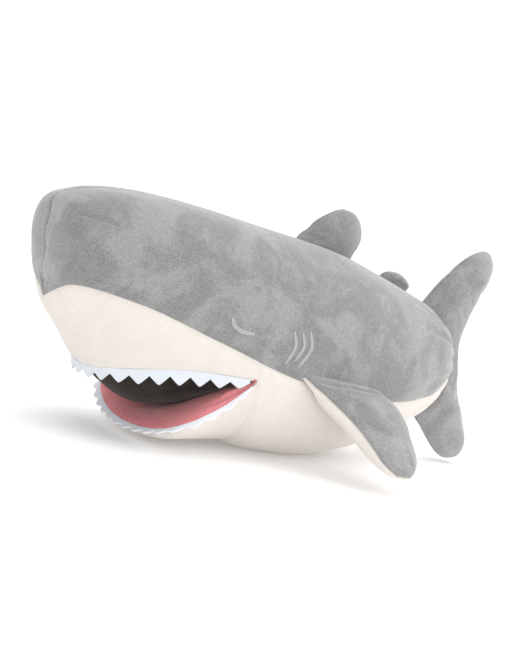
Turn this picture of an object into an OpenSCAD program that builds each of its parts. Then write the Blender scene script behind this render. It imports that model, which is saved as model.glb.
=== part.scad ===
// Plush shark: a stuffed body with an open felt-toothed mouth, a soft lower jaw,
// two side fins, two back fins and a two-lobed tail fin, all in short-pile fabric.
// The nose points along -Y and the shark rests on its belly at z = 0.

/* [Body] */
// Length of the body from the front seam of the snout to the root of the tail fin
trunk_len = 434; // [420:1:440]
// Height of the front end of the seam between the back and the snout panel
nose_z = 112; // [108:1:116]
// How far the upper snout leans forward, in millimetres per millimetre of height
nose_lean = 0.22; // [0:0.02:0.3]
// Squareness of the body's cross sections, where 2 is an ellipse
body_square = 2.4; // [2.1:0.1:2.8]
// Height of the widest line, as a share of the section's height, behind the head
widest_at = 0.45; // [0.4:0.01:0.5]
// The same share at the tip of the snout, which is fullest near its top
nose_widest_at = 0.66; // [0.55:0.01:0.7]

/* [Mouth] */
// Distance of the mouth corners behind the front seam
corner_s = 168; // [164:1:172]
// Height of the mouth corners
corner_z = 76; // [74:1:78]
// Distance of the upper lip's front behind the front seam
upper_lip_s = 45; // [44:1:47]
// Distance of the lower lip's front behind the front seam
lower_lip_s = 78; // [74:1:82]
// Length of the felt teeth of the upper strip
upper_tooth = 8; // [6:1:10]
// Length of the felt teeth of the lower strip
lower_tooth = 6; // [4:1:7]
// Number of teeth along each strip
tooth_count = 19; // [15:2:23]

/* [Fins] */
// Half thickness of the side fins
side_fin_half = 13; // [10:1:13]
// Half thickness of the front back fin
back_fin_half = 12; // [9:1:12]
// Half thickness of the rear back fin
rear_fin_half = 9; // [7:1:9]
// Half thickness of the tail fin
tail_half = 13; // [10:1:14]

/* [Fabric] */
// Thickness of the body's pile fabric
pile = 2; // [1.5:0.1:2.4]
// Thickness of the fins' pile fabric
fin_pile = 1.4; // [1:0.1:1.6]
// Thickness of the lining inside the mouth
lining = 1.5; // [1:0.1:2]
// Thickness of the teeth felt
felt = 1.6; // [1.2:0.1:2]
// Gap left between two panels along a seam
seam_gap = 0.3; // [0.2:0.05:0.4]
// Clearance between the stuffing and the fabric around it
fill_gap = 3; // [2.5:0.1:3.5]

/* [Hidden] */

// The front seam lies this far ahead of the middle of the shark's length.
front_y = -243;
// The panels start this far behind the point where they all meet.
first_s = 0.02;
// Over this length the lean of the snout dies away.
lean_reach = 60;

// Body profiles: [distance behind the front seam, value].
half_widths = [[0, 0], [6, 43], [25, 60], [70, 80], [130, 94], [200, 100], [280, 92],
    [350, 70], [400, 46], [420, 31], [434, 14]];
top_heights = [[0, nose_z], [6, 186], [25, 206], [70, 214], [130, 211], [200, 203], [280, 193],
    [350, 173], [400, 151], [420, 137], [434, 119]];
low_heights = [[0, nose_z], [6, 101], [24, 82], [45, 58], [80, 42], [130, 34], [186, 4],
    [220, -2], [280, -2], [350, 18], [400, 45], [420, 61], [434, 81]];
// The stuffing stays above the mouth, then drops behind the jaw.
fill_lows = [[0, nose_z], [6, 106], [25, 88], [42, 72], [70, 74], [105, 68], [140, 50],
    [178, 48], [196, 8], [220, 5], [280, 5], [350, 24], [400, 51], [420, 67], [434, 87]];
// Seam between the grey back and the pale underside: [distance, height].
seam_heights = [[0, nose_z], [8, 129], [60, 124], [130, 104], [200, 84], [260, 73], [330, 68],
    [400, 75], [434, 92]];
// Upper lip: [distance, height].
lip_heights = [[45, 60], [105, 74], [168, 76]];
// Middle line of the palate: [share of the way back, height].
palate_heights = [[0, 60], [0.3, 65], [0.6, 60], [1, 40]];

// --- curves ---------------------------------------------------------------
function lerp(a, b, t) = a + (b - a) * t;
// From 0 to 1 with small steps at both ends.
function ease(u) = (1 - cos(180 * u)) / 2;
function spow(v, e) = sign(v) * pow(abs(v), e);
function unit(v) = v / max(norm(v), 1e-9);
function seg(tab, x, i = 0) = i >= len(tab) - 2 || x < tab[i + 1][0] ? i : seg(tab, x, i + 1);
function rise(tab, i, j) = (tab[j][1] - tab[i][1]) / (tab[j][0] - tab[i][0]);
function slope(tab, i) = rise(tab, max(i - 1, 0), min(i + 1, len(tab) - 1));
// Smooth curve through the points of a table.
function curve(tab, x) = let (i = seg(tab, x), h = tab[i + 1][0] - tab[i][0],
    t = (x - tab[i][0]) / h, u = t * t, c = t * u)
    (2 * c - 3 * u + 1) * tab[i][1] + (c - 2 * u + t) * h * slope(tab, i)
    + (3 * u - 2 * c) * tab[i + 1][1] + (c - u) * h * slope(tab, i + 1);
// The nose is blunt, so the body's profiles run over the root of the distance.
function root_table(tab) = [for (p = tab) [sqrt(p[0]), p[1]]];
width_curve = root_table(half_widths);
top_curve = root_table(top_heights);
low_curve = root_table(low_heights);
fill_curve = root_table(fill_lows);
seam_curve = root_table(seam_heights);
// Height of the widest line at distance s.
function widest(s, t, b) = lerp(b, t, lerp(widest_at, nose_widest_at, exp(-s / lean_reach)));

// --- body surface ---------------------------------------------------------
// A point of the body at distance s and angle a, 0 at the top and 180 at the bottom.
function body_point(s, a, inset = 0, lows = low_curve) = let (r = sqrt(max(s, 0)),
    w = curve(width_curve, r) - inset, t = curve(top_curve, r) - inset,
    skin = curve(low_curve, r) + inset, b = lows == low_curve ? skin : curve(lows, r),
    m = widest(s, t, skin), e = 2 / body_square, c = spow(cos(a), e), z = m + (c > 0 ? t - m : m - b) * c)
    [w * spow(sin(a), e), front_y + s - nose_lean * max(z - nose_z, 0) * exp(-s / lean_reach),
     lows == low_curve ? max(z, 0) : z];
// The angle at which the section at distance s has height z.
function angle_at(s, z) = let (r = sqrt(max(s, 0)), t = curve(top_curve, r),
    b = curve(low_curve, r), m = widest(s, t, b),
    v = z > m ? (z - m) / max(t - m, 0.01) : (z - m) / max(m - b, 0.01))
    acos(spow(max(min(v, 1), -1), body_square / 2));
function seam_angle(s) = angle_at(s, curve(seam_curve, sqrt(s)));
function lip_angle(s) = angle_at(s, curve(lip_heights, s));
// An angle moved along the section by a distance d.
function moved(a, d, s) = a + d / max(curve(width_curve, sqrt(s)), 8) * 57.3;

// --- closed solids from grids ----------------------------------------------
function grid_normal(g, i, j) = let (n = len(g) - 1, m = len(g[0]) - 1)
    unit(cross(g[min(i + 1, n)][j] - g[max(i - 1, 0)][j],
               g[i][min(j + 1, m)] - g[i][max(j - 1, 0)]));
function moved_grid(g, d) = [for (i = [0:len(g) - 1]) [for (j = [0:len(g[0]) - 1])
    g[i][j] + d * grid_normal(g, i, j)]];
// The solid between two grids of the same size: a faces out where its normals point.
module between(a, b) {
    n = len(a);
    m = len(a[0]);
    k = n * m;
    points = concat([for (row = a, p = row) p], [for (row = b, p = row) p]);
    cells = [for (i = [0:n - 2], j = [0:m - 2]) [i * m + j, i * m + j + 1, i * m + m + j + 1,
        i * m + m + j]];
    rim = concat([for (j = [0:m - 2]) j], [for (i = [0:n - 2]) i * m + m - 1],
        [for (j = [m - 1:-1:1]) (n - 1) * m + j], [for (i = [n - 1:-1:1]) i * m]);
    r = len(rim);
    polyhedron(points, concat(
        [for (c = cells) each [[c[0], c[1], c[2]], [c[0], c[2], c[3]]]],
        [for (c = cells) each [[k + c[0], k + c[2], k + c[1]], [k + c[0], k + c[3], k + c[2]]]],
        [for (q = [0:r - 1]) let (u = rim[q], v = rim[(q + 1) % r])
            each [[u, k + u, k + v], [u, k + v, v]]]));
}
// A grid turned so that its middle faces along dir.
function facing(g, dir) = grid_normal(g, floor(len(g) / 2), floor(len(g[0]) / 2)) * dir > 0 ? g
    : [for (row = g) [for (j = [len(row) - 1:-1:0]) row[j]]];
// A sheet of fabric whose outer face is the grid and faces along dir.
module sheet(g, thick, dir) {
    f = facing(g, dir);
    between(f, moved_grid(f, -thick));
}
// A closed loft through rings, with a fan at each end.
module loft(rings) {
    n = len(rings);
    m = len(rings[0]);
    ones = [for (j = [1:m]) 1 / m];
    ends = [for (ring = [rings[0], rings[n - 1]]) ones * ring];
    polyhedron(concat([for (row = rings, p = row) p], ends), concat(
        [for (i = [0:n - 2], j = [0:m - 1]) let (a = i * m + j, b = i * m + (j + 1) % m)
            each [[a, b + m, b], [a, a + m, b + m]]],
        [for (j = [0:m - 1]) [n * m, j, (j + 1) % m]],
        [for (j = [0:m - 1]) [n * m + 1, (n - 1) * m + (j + 1) % m, (n - 1) * m + j]]));
}
module mirrored() { mirror([1, 0, 0]) children(); }

// --- skins of the body ----------------------------------------------------
grey = [0.66, 0.66, 0.66];
cream = [0.96, 0.92, 0.87];
white = [0.95, 0.95, 0.97];
back_rows = 24;
back_cols = 9;
function back_s(i) = lerp(first_s, trunk_len, ease(i / back_rows));
back_grid = [for (i = [0:back_rows]) let (s = back_s(i), a1 = moved(seam_angle(s), -seam_gap, s))
    [for (j = [0:back_cols]) body_point(s, lerp(moved(0, 0.2, s), a1, j / back_cols))]];
module back_panel_left() { color(grey) sheet(back_grid, pile, [1, 0, 0]); }
module back_panel_right() { color(grey) mirrored() sheet(back_grid, pile, [1, 0, 0]); }

// The snout panel runs round the nose between the seam and the upper lip.
snout_cols = 24;
snout_rows = 5;
function lip_s(t) = lerp(upper_lip_s, corner_s, pow(abs(t), 1.9));
function polar(s, a) = sqrt(s) * [sin(a), cos(a)];
function snout_point(t, v) = let (sa = first_s + corner_s * t * t, sb = lip_s(t),
    aa = moved(seam_angle(sa), seam_gap, sa), ab = abs(t) < 0.01 ? 180 : lip_angle(sb),
    p = lerp(abs(t) < 0.01 ? polar(first_s, 180) : polar(sa, aa), polar(sb, ab), v),
    q = body_point(p * p, atan2(p[0], p[1])))
    [sign(t) * q[0], q[1], q[2]];
snout_grid = [for (i = [0:snout_cols]) [for (j = [0:snout_rows])
    snout_point(lerp(-1, 1, i / snout_cols), j / snout_rows)]];
module snout_panel() { color(cream) sheet(snout_grid, pile, [0, -1, 0]); }

// The belly panel starts behind the jaw and is flat where the shark rests.
belly_rows = 16;
belly_cols = 16;
throat_back = 16;
function belly_point(i, u) = let (s0 = lerp(corner_s + 0.6, trunk_len, ease(i / belly_rows)),
    s = s0 + throat_back * (1 - u * u) * (trunk_len - s0) / (trunk_len - corner_s),
    a1 = moved(seam_angle(s), seam_gap, s)) body_point(s, 180 + (180 - a1) * u);
belly_grid = [for (i = [0:belly_rows]) [for (j = [0:belly_cols])
    belly_point(i, lerp(-1, 1, j / belly_cols))]];
module belly_panel() { color(cream) sheet(belly_grid, pile, [0, 0, -1]); }

fill_rows = 20;
fill_cols = 24;
fill_start = 16;
fill_end = 24;
function fill_s(i) = lerp(fill_start, trunk_len - fill_end, ease(i / fill_rows));
module body_stuffing() {
    color("white") loft([for (i = [0:fill_rows]) [for (j = [0:fill_cols - 1])
        body_point(fill_s(i), 360 * j / fill_cols, pile + fill_gap, fill_curve)]]);
}

// --- mouth ----------------------------------------------------------------
// A point of an arch that goes from an edge point over a middle point to the mirrored edge.
function arch_point(edge, mid, a, square) = let (e = 2 / square, c = pow(abs(cos(a)), e))
    [edge[0] * spow(sin(a), e), lerp(edge[1], mid[1], c), lerp(edge[2], mid[2], c)];
function arch_grid(edges, mids, cols, square) = [for (i = [0:len(edges) - 1])
    [for (j = [0:cols]) arch_point(edges[i], mids[i], lerp(-90, 90, j / cols), square)]];
mouth_rows = 12;
mouth_cols = 14;
shares = [for (i = [0:mouth_rows]) lerp(0.04, 1, i / mouth_rows)];
function lip_edge(t) = let (s = lip_s(t)) body_point(s, lip_angle(s), 3);
palate_back = 96;
palate_square = 1.5;
palate_grid = arch_grid([for (t = shares) lip_edge(t)],
    [for (t = shares) [0, front_y + upper_lip_s + 3 + palate_back * t, curve(palate_heights, t)]],
    mouth_cols, palate_square);
module palate_lining() { color([0.16, 0.14, 0.13]) sheet(palate_grid, lining, [0, 0, -1]); }

// The lower jaw is a cushion of its own between the lip and the chin.
jaw_corner = [87, corner_s - 10, corner_z - 10];
lower_lip_z = 25;
lip_sag = 12;
chin_z = 2;
function lower_lip(t, inset = 0) = [(jaw_corner[0] - inset) * pow(sin(90 * t), 0.9),
    front_y + lerp(lower_lip_s + inset, jaw_corner[1], t * t),
    lerp(lower_lip_z, jaw_corner[2], t * t * t) - lip_sag * sin(180 * t)];
chin_len = jaw_corner[1] + 6 - lower_lip_s;
floor_len = 56;
function chin(t, inset = 0) = [0, front_y + lower_lip_s + inset + chin_len * pow(t, 1.3),
    lerp(chin_z, lower_lip_z, pow(1 - t, 3)) + inset];
function floor_mid(t, drop = 0) = [0, front_y + lower_lip_s + 3 + floor_len * t,
    lower_lip_z + 6 * sin(90 * t) - drop];
jaw_square = 2.4;
jaw_grid = arch_grid([for (t = shares) lower_lip(t)], [for (t = shares) chin(t)], mouth_cols, jaw_square);
floor_grid = arch_grid([for (t = shares) lower_lip(t, 3) + [0, 0, 1.2]], [for (t = shares) floor_mid(t)],
    mouth_cols, 2);
module jaw_panel() { color(cream) sheet(jaw_grid, pile, [0, 0, -1]); }
module mouth_floor() { color([0.8, 0.48, 0.5]) sheet(floor_grid, lining, [0, 0, 1]); }
// The jaw's stuffing keeps this far inside its panel's edges.
jaw_inset = 9;
module jaw_stuffing() {
    inner = [for (t = shares) if (t > 0.45) t];
    color("white") between(
        arch_grid([for (t = inner) lower_lip(t, jaw_inset) - [0, 0, 5.5]],
            [for (t = inner) chin(t, 3 * fill_gap)], mouth_cols, jaw_square),
        arch_grid([for (t = inner) lower_lip(t, jaw_inset) - [0, 0, 4.5]],
            [for (t = inner) floor_mid(t, 3 * fill_gap)], mouth_cols, 2));
}

// --- felt teeth -----------------------------------------------------------
// Depth of a zigzag strip at its point i: the band alone, or the band and a tooth.
function tooth_depth(i, band, tooth) = band + (i % 2 == 1 ? tooth : 0);
tooth_steps = 2 * tooth_count;
upper_band = 5;
upper_teeth_grid = [for (i = [0:tooth_steps]) let (t = lerp(-0.94, 0.94, i / tooth_steps), s = lip_s(t),
    p = body_point(s, lip_angle(s), 0.4), d = tooth_depth(i, upper_band, upper_tooth) * (1 - 0.5 * pow(t, 6)))
    [for (k = [0.15, 0.5, 1]) [sign(t) * p[0] * (1 - 0.03 * k), p[1] + 2 * k, p[2] - 0.6 - d * k]]];
module upper_teeth() {
    g = facing(upper_teeth_grid, [0, -1, 0]);
    color(white) sheet(moved_grid(g, felt / 2), felt, [0, -1, 0]);
}

// A point of the jaw's outside: across runs from corner to corner, below grows from the lip down.
function jaw_point(across, below) = let (t = norm([across, below]), a = atan2(across, below))
    arch_point(lower_lip(t), chin(t), a, 2.4);
lower_band = 0.05;
lower_step = 0.013;
lower_teeth_grid = [for (i = [0:tooth_steps]) let (x = lerp(-0.9, 0.9, i / tooth_steps),
    d = tooth_depth(i, lower_band, lower_tooth * lower_step))
    [for (k = [0.1, 0.5, 1]) jaw_point(x, d * k)]];
module lower_teeth() {
    g = facing(lower_teeth_grid, [0, -1, 0]);
    color(white) sheet(moved_grid(g, felt + 0.5), felt, [0, -1, 0]);
}

// --- embroidery -----------------------------------------------------------
// A satin stitch line on the left flank through side-view points [distance, height].
stitch_w = 2.4;
stitch_high = 1;
function path_at(path, u) = let (xs = [for (i = [0:len(path) - 1]) [i, path[i][0]]],
    zs = [for (i = [0:len(path) - 1]) [i, path[i][1]]]) [curve(xs, u), curve(zs, u)];
module stitch_line(path, steps = 10) {
    last = len(path) - 1;
    g = [for (i = [0:steps]) let (u = last * i / steps, p = path_at(path, u),
        q = path_at(path, min(u + 0.1, last)) - path_at(path, max(u - 0.1, 0)),
        side = stitch_w / 2 * sin(20 + 140 * i / steps) * [-q[1], q[0]] / norm(q))
        [for (k = [-1:1]) let (w = p + k * side) body_point(w[0], angle_at(w[0], w[1]))]];
    f = facing(g, [1, 0, 0]);
    sheet(moved_grid(f, stitch_high + 0.4), stitch_high, [1, 0, 0]);
}
eye_path = [[131, 129], [135, 122], [143, 117.5], [155, 117]];
gill_paths = [[[194, 124], [197, 111], [190, 96]], [[203, 124], [206, 112], [199, 99]],
    [[211, 126], [214, 111], [204, 94]]];
module eye_left() { color([0.8, 0.8, 0.8]) stitch_line(eye_path); }
module eye_right() { mirrored() eye_left(); }
module gills_left() { color([0.8, 0.8, 0.8]) for (path = gill_paths) stitch_line(path); }
module gills_right() { mirrored() gills_left(); }

// --- fins -----------------------------------------------------------------
// A fin is a row of ribs [front corner, rear corner, share of the half thickness], each corner
// a point [along, up] in the fin's own plane; frame = [origin, along axis, up axis].
fin_cols = 9;
// Below 1 the padded edges are blunt, and at 1 the sections are ellipses.
fin_round = 0.75;
function plane_point(frame, p, n) = frame[0] + p[0] * frame[1] + p[1] * frame[2]
    + n * cross(frame[1], frame[2]);
function rib_point(frame, rib, half, a, inset) = let (d = rib[1] - rib[0], l = norm(d),
    f = rib[0] + inset * d / l, r = rib[1] - inset * d / l,
    p = lerp(f, r, (1 - spow(cos(a), fin_round)) / 2))
    plane_point(frame, p, (rib[2] * half - inset) * spow(sin(a), fin_round));
// Each panel stops this angle short of the seam, so that the two panels stay clear.
fin_rim = 2.5;
function fin_grid(frame, ribs, half, turn, inset = 0) = [for (rib = ribs) [for (j = [0:fin_cols])
    rib_point(frame, rib, half, turn * lerp(fin_rim, 180 - fin_rim, j / fin_cols), inset)
    + turn * seam_gap / 2 * cross(frame[1], frame[2])]];
module fin_panel(frame, ribs, half, turn) {
    sheet(fin_grid(frame, ribs, half, turn), fin_pile, turn * cross(frame[1], frame[2]));
}
module fin_stuffing(frame, ribs, half) {
    inner = [for (rib = ribs) if (rib[2] > 0.6) rib];
    between(facing(fin_grid(frame, inner, half, 1, fill_gap), cross(frame[1], frame[2])),
        facing(fin_grid(frame, inner, half, -1, fill_gap), cross(frame[1], frame[2])));
}
// Ribs across a plain fin: [height, front, rear, share of the half thickness].
function flat_ribs(tab) = [for (r = tab) [[r[1], r[0]], [r[2], r[0]], r[3]]];

// Side fin, hanging out and down from the flank.
side_root = [100, front_y + 210, 82];
side_along = unit([-0.16, 0.986, -0.05]);
side_out = unit([0.78, 0.095, -0.62]);
side_frame = [side_root, side_along, unit(side_out - (side_out * side_along) * side_along)];
side_ribs = flat_ribs([[8, 18, 102, 0.3], [11, 14, 108, 0.68], [18, 18, 112, 0.95], [40, 33, 111, 1],
    [60, 43, 107, 0.95], [78, 49, 102, 0.82], [90, 56, 94, 0.6], [96, 66, 84, 0.25]]);
module side_fin_left_top() { color(grey) fin_panel(side_frame, side_ribs, side_fin_half, -1); }
module side_fin_left_under() { color(cream) fin_panel(side_frame, side_ribs, side_fin_half, 1); }
module side_fin_left_stuffing() { color("white") fin_stuffing(side_frame, side_ribs, side_fin_half); }
module side_fin_right_top() { mirrored() side_fin_left_top(); }
module side_fin_right_under() { mirrored() side_fin_left_under(); }
module side_fin_right_stuffing() { mirrored() side_fin_left_stuffing(); }

// Upright fins in the middle plane: along runs back and down with the back's slope.
function upright(s, z, fall) = [[0, front_y + s, z], [0, cos(fall), -sin(fall)], [0, sin(fall), cos(fall)]];
back_frame = upright(243, 200, 9.9);
back_ribs = flat_ribs([[2, 6, 58, 0.3], [5, 3, 62, 0.72], [12, 4, 64, 0.95], [22, 9, 63, 1],
    [32, 19, 58, 0.85], [38, 27, 52, 0.62], [41, 34, 45, 0.25]]);
module back_fin_panel_left() { color(grey) fin_panel(back_frame, back_ribs, back_fin_half, -1); }
module back_fin_panel_right() { color(grey) fin_panel(back_frame, back_ribs, back_fin_half, 1); }
module back_fin_stuffing() { color("white") fin_stuffing(back_frame, back_ribs, back_fin_half); }

rear_frame = upright(340, 178, 19);
rear_ribs = flat_ribs([[2, 5, 34, 0.4], [4, 2, 38, 0.75], [9, 4, 38, 1], [13, 9, 34, 0.85],
    [16, 15, 28, 0.4]]);
module rear_fin_panel_left() { color(grey) fin_panel(rear_frame, rear_ribs, rear_fin_half, -1); }
module rear_fin_panel_right() { color(grey) fin_panel(rear_frame, rear_ribs, rear_fin_half, 1); }
module rear_fin_stuffing() { color("white") fin_stuffing(rear_frame, rear_ribs, rear_fin_half); }

// The tail fin clasps the body's end: its ribs run from the upper tip to the lower tip.
tail_frame = [[0, front_y, 0], [0, 1, 0], [0, 0, 1]];
tail_ribs = [[[463, 219], [470, 215], 0.25], [[451, 217], [476, 206], 0.7], [[437, 208], [475, 191], 0.92],
    [[421, 190], [468, 172], 1], [[406, 163], [461, 152], 1], [[421, 144], [458, 139], 0.85],
    [[436, 127], [457, 124], 0.7], [[440, 105], [459, 107], 0.66], [[437, 83], [465, 89], 0.7],
    [[424, 57], [471, 71], 0.88], [[418, 46], [479, 55], 1], [[431, 33], [486, 39], 1],
    [[446, 18], [492, 23], 0.92], [[458, 8], [490, 11], 0.7], [[469, 3], [483, 4.5], 0.25]];
module tail_fin_panel_left() { color(grey) fin_panel(tail_frame, tail_ribs, tail_half, 1); }
module tail_fin_panel_right() { color(grey) fin_panel(tail_frame, tail_ribs, tail_half, -1); }
module tail_fin_stuffing() { color("white") fin_stuffing(tail_frame, tail_ribs, tail_half); }

back_panel_left();
back_panel_right();
snout_panel();
belly_panel();
body_stuffing();
palate_lining();
upper_teeth();
eye_left();
eye_right();
gills_left();
gills_right();
jaw_panel();
mouth_floor();
lower_teeth();
jaw_stuffing();
side_fin_left_top();
side_fin_left_under();
side_fin_left_stuffing();
side_fin_right_top();
side_fin_right_under();
side_fin_right_stuffing();
back_fin_panel_left();
back_fin_panel_right();
back_fin_stuffing();
rear_fin_panel_left();
rear_fin_panel_right();
rear_fin_stuffing();
tail_fin_panel_left();
tail_fin_panel_right();
tail_fin_stuffing();
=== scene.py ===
# %% [markdown]
# # A plush shark, sewn panel by panel
# The toy is a stuffed bag of short velour: two grey back panels, a cream snout panel that runs round
# the nose, a cream belly and a lower jaw that is a cushion of its own. Felt teeth edge both lips, the
# mouth is lined in black above and pink below, and the eyes and gills are satin stitches.
# Each cell makes one of those pieces the way a toy maker would, in the places that the CAD model gives.
# The frame comes first: it brings in the CAD model.

# %% Load the frame
import math

import bmesh
import bpy
import numpy as np
from mathutils import Matrix, Vector, noise
from mathutils.bvhtree import BVHTree


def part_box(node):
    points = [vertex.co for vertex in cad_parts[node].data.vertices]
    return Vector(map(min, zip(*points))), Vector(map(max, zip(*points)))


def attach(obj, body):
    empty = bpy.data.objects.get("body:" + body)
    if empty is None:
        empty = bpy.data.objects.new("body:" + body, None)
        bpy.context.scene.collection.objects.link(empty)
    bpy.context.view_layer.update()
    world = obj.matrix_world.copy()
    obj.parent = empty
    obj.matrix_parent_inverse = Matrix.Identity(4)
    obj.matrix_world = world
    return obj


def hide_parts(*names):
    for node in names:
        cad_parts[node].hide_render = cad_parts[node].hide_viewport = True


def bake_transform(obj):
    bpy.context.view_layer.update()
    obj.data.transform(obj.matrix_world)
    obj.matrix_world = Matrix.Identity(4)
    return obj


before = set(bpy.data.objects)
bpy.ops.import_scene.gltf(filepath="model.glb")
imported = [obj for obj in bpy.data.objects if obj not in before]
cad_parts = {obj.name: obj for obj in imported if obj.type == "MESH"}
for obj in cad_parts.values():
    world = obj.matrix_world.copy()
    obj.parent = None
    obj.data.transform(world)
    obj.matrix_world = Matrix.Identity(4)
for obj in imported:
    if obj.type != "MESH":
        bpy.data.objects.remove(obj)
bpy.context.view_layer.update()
MM = 0.001

# %% [markdown]
# ## The camera
# The toy is seen from ahead of it and to its left, a little from above, and the camera is rolled so that
# the shark swims down to the right. Azimuth, elevation, roll and distance say that in four numbers, and
# the camera's axes follow from them, which is easier to change than a rotation typed in by hand.

# %% Place the camera
azimuth, elevation, roll = (math.radians(angle) for angle in (58, 6, 12))
aim = Vector((0, -0.0241, 0.1134))
distance = 1.3
back = Vector((math.sin(azimuth) * math.cos(elevation),
               -math.cos(azimuth) * math.cos(elevation), math.sin(elevation)))
right = Vector((math.cos(azimuth), math.sin(azimuth), 0))
up = back.cross(right)
camera_x = math.cos(roll) * right + math.sin(roll) * up
camera_y = math.cos(roll) * up - math.sin(roll) * right
camera = bpy.data.objects.new("camera", bpy.data.cameras.new("camera"))
camera.data.lens = 77.24
turned = Matrix((camera_x, camera_y, back)).transposed()
camera.matrix_world = Matrix.Translation(aim + distance * back) @ turned.to_4x4()
bpy.context.scene.collection.objects.link(camera)
bpy.context.scene.camera = camera
print("camera at", [round(v, 3) for v in camera.location])

# %% [markdown]
# ## A studio with no corners
# Soft toys are shown on a sweep, a floor that curves up into the wall, so that no line shows behind
# the toy. A profile spun round the toy gives a sweep on all sides. A large soft light overhead and the
# white surroundings keep every shadow faint, and the sweep glows a little, as a translucent table lit
# from below does, because pale plush looks dirty on a grey floor.

# %% Build the sweep and the lights
def link(name, data):
    """Puts a mesh or a lamp in the scene as an object at the origin."""
    piece = bpy.data.objects.new(name, data)
    bpy.context.scene.collection.objects.link(piece)
    return piece


def spun(name, profile, turns):
    """A mesh made by spinning (radius, height) points round the Z axis."""
    angles = np.linspace(0, 2 * math.pi, turns, endpoint=False)
    points = [(r * math.cos(a), r * math.sin(a), z) for r, z in profile for a in angles]
    faces = [(i * turns + j, i * turns + (j + 1) % turns, (i + 1) * turns + (j + 1) % turns,
              (i + 1) * turns + j) for i in range(len(profile) - 1) for j in range(turns)]
    mesh = bpy.data.meshes.new(name)
    mesh.from_pydata(points, [], faces)
    mesh.shade_smooth()
    return link(name, mesh)


sweep_radius, sweep_bend = 3.0, 2.0
bends = np.linspace(0, math.pi / 2, 13)
sweep = spun("sweep", [(0.001, 0), *[(sweep_radius + sweep_bend * math.sin(b),
                                      sweep_bend * (1 - math.cos(b))) for b in bends]], 64)

for name, place, size, power in (("overhead", (0.1, 0.5, 2.2), 2.4, 25),
                                 ("side_low", (2.1, -0.4, 0.3), 1.4, 7),
                                 ("rear_left", (1.7, 1.5, 1.1), 1.4, 8),
                                 ("rear_right", (-1.5, 1.6, 1.3), 1.4, 5)):
    lamp = bpy.data.lights.new(name, "AREA")
    lamp.size = size
    lamp.energy = power
    holder = link(name, lamp)
    holder.location = place
    holder.rotation_euler = (Vector((0, 0, 0.1)) - Vector(place)).to_track_quat("-Z", "Y").to_euler()
world = bpy.data.worlds.new("studio")
world.use_nodes = True
surroundings = world.node_tree.nodes["Background"].inputs
surroundings["Color"].default_value = (1, 1, 1, 1)
surroundings["Strength"].default_value = 0.82
bpy.context.scene.world = world
bpy.context.scene.view_settings.view_transform = "Standard"

# %% [markdown]
# ## Fabrics
# Velour is a knit with a cut pile about 1.5 mm long. Three things make it look like velour: patches
# where a hand has brushed the pile another way, a fine mottle, and a pale sheen where it is seen edge
# on. All of that is built from a few kinds of node, so these helpers come first.

# %% Helpers for node materials
def feed(target, sockets):
    """Each of a node's sockets takes a value, or the output socket that it is fed from."""
    for socket, value in sockets.items():
        if isinstance(value, bpy.types.NodeSocket):
            target.id_data.links.new(value, target.inputs[socket])
        else:
            target.inputs[socket].default_value = value


def node(tree, kind, sockets=None, **settings):
    made = tree.nodes.new(kind)
    for name, value in settings.items():
        setattr(made, name, value)
    feed(made, sockets or {})
    return made


def noise_value(tree, place, scale, detail, roughness=0.5, distortion=0.0):
    return node(tree, "ShaderNodeTexNoise", {"Vector": place, "Scale": scale, "Detail": detail,
                                             "Roughness": roughness, "Distortion": distortion}).outputs[0]


def between(tree, value, low, high, to_low, to_high):
    """Maps low..high of a value onto to_low..to_high with soft ends."""
    return node(tree, "ShaderNodeMapRange", {0: value, 1: low, 2: high, 3: to_low, 4: to_high},
                interpolation_type="SMOOTHSTEP").outputs[0]


def total(tree, first, second):
    return node(tree, "ShaderNodeMath", {0: first, 1: second}, operation="ADD").outputs[0]


# %% [markdown]
# The sheen is the shader's own, and the rest is noise in Object coordinates, so it stays put when a
# limb bends. Each size of noise follows from the length of the pile. The two linings, the felt, the
# thread and the sweep's paper are the same recipe with other numbers.

# %% The velour recipe
def fabric(name, dark, light, patches=0.3, mottle=0.35, grain=0.35, sheen=0.5, tint=(1, 1, 1),
           patch_size=0.035, pile=0.0006, rough=0.95):
    """A cut-pile fabric: dark and light are the pile brushed away from and towards the eye."""
    material = bpy.data.materials.new(name)
    material.use_nodes = True
    tree = material.node_tree
    shader = tree.nodes["Principled BSDF"]
    place = node(tree, "ShaderNodeTexCoord").outputs["Object"]
    brushed = noise_value(tree, place, 1 / patch_size, 3, 0.6, 0.8)
    mottled = noise_value(tree, place, 1 / (8 * pile), 4, 0.65)
    grained = noise_value(tree, place, 1 / (1.6 * pile), 2)
    share = total(tree, between(tree, brushed, 0.4, 0.62, 0.5 - patches / 2, 0.5 + patches / 2),
                  total(tree, between(tree, mottled, 0.3, 0.7, -mottle / 2, mottle / 2),
                        between(tree, grained, 0.3, 0.7, -grain / 2, grain / 2)))
    colour = node(tree, "ShaderNodeMix", {"Factor": share, 6: (*dark, 1), 7: (*light, 1)},
                  data_type="RGBA", clamp_factor=True).outputs[2]
    coarse = node(tree, "ShaderNodeMath", {0: mottled, 1: 0.6}, operation="MULTIPLY").outputs[0]
    height = total(tree, coarse, grained)
    bump = node(tree, "ShaderNodeBump", {"Height": height, "Strength": 0.5, "Distance": pile})
    feed(shader, {"Base Color": colour, "Normal": bump.outputs[0], "Roughness": rough,
                  "Specular IOR Level": 0.15, "Sheen Weight": sheen, "Sheen Roughness": 0.45,
                  "Sheen Tint": (*tint, 1)})
    return material


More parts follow.
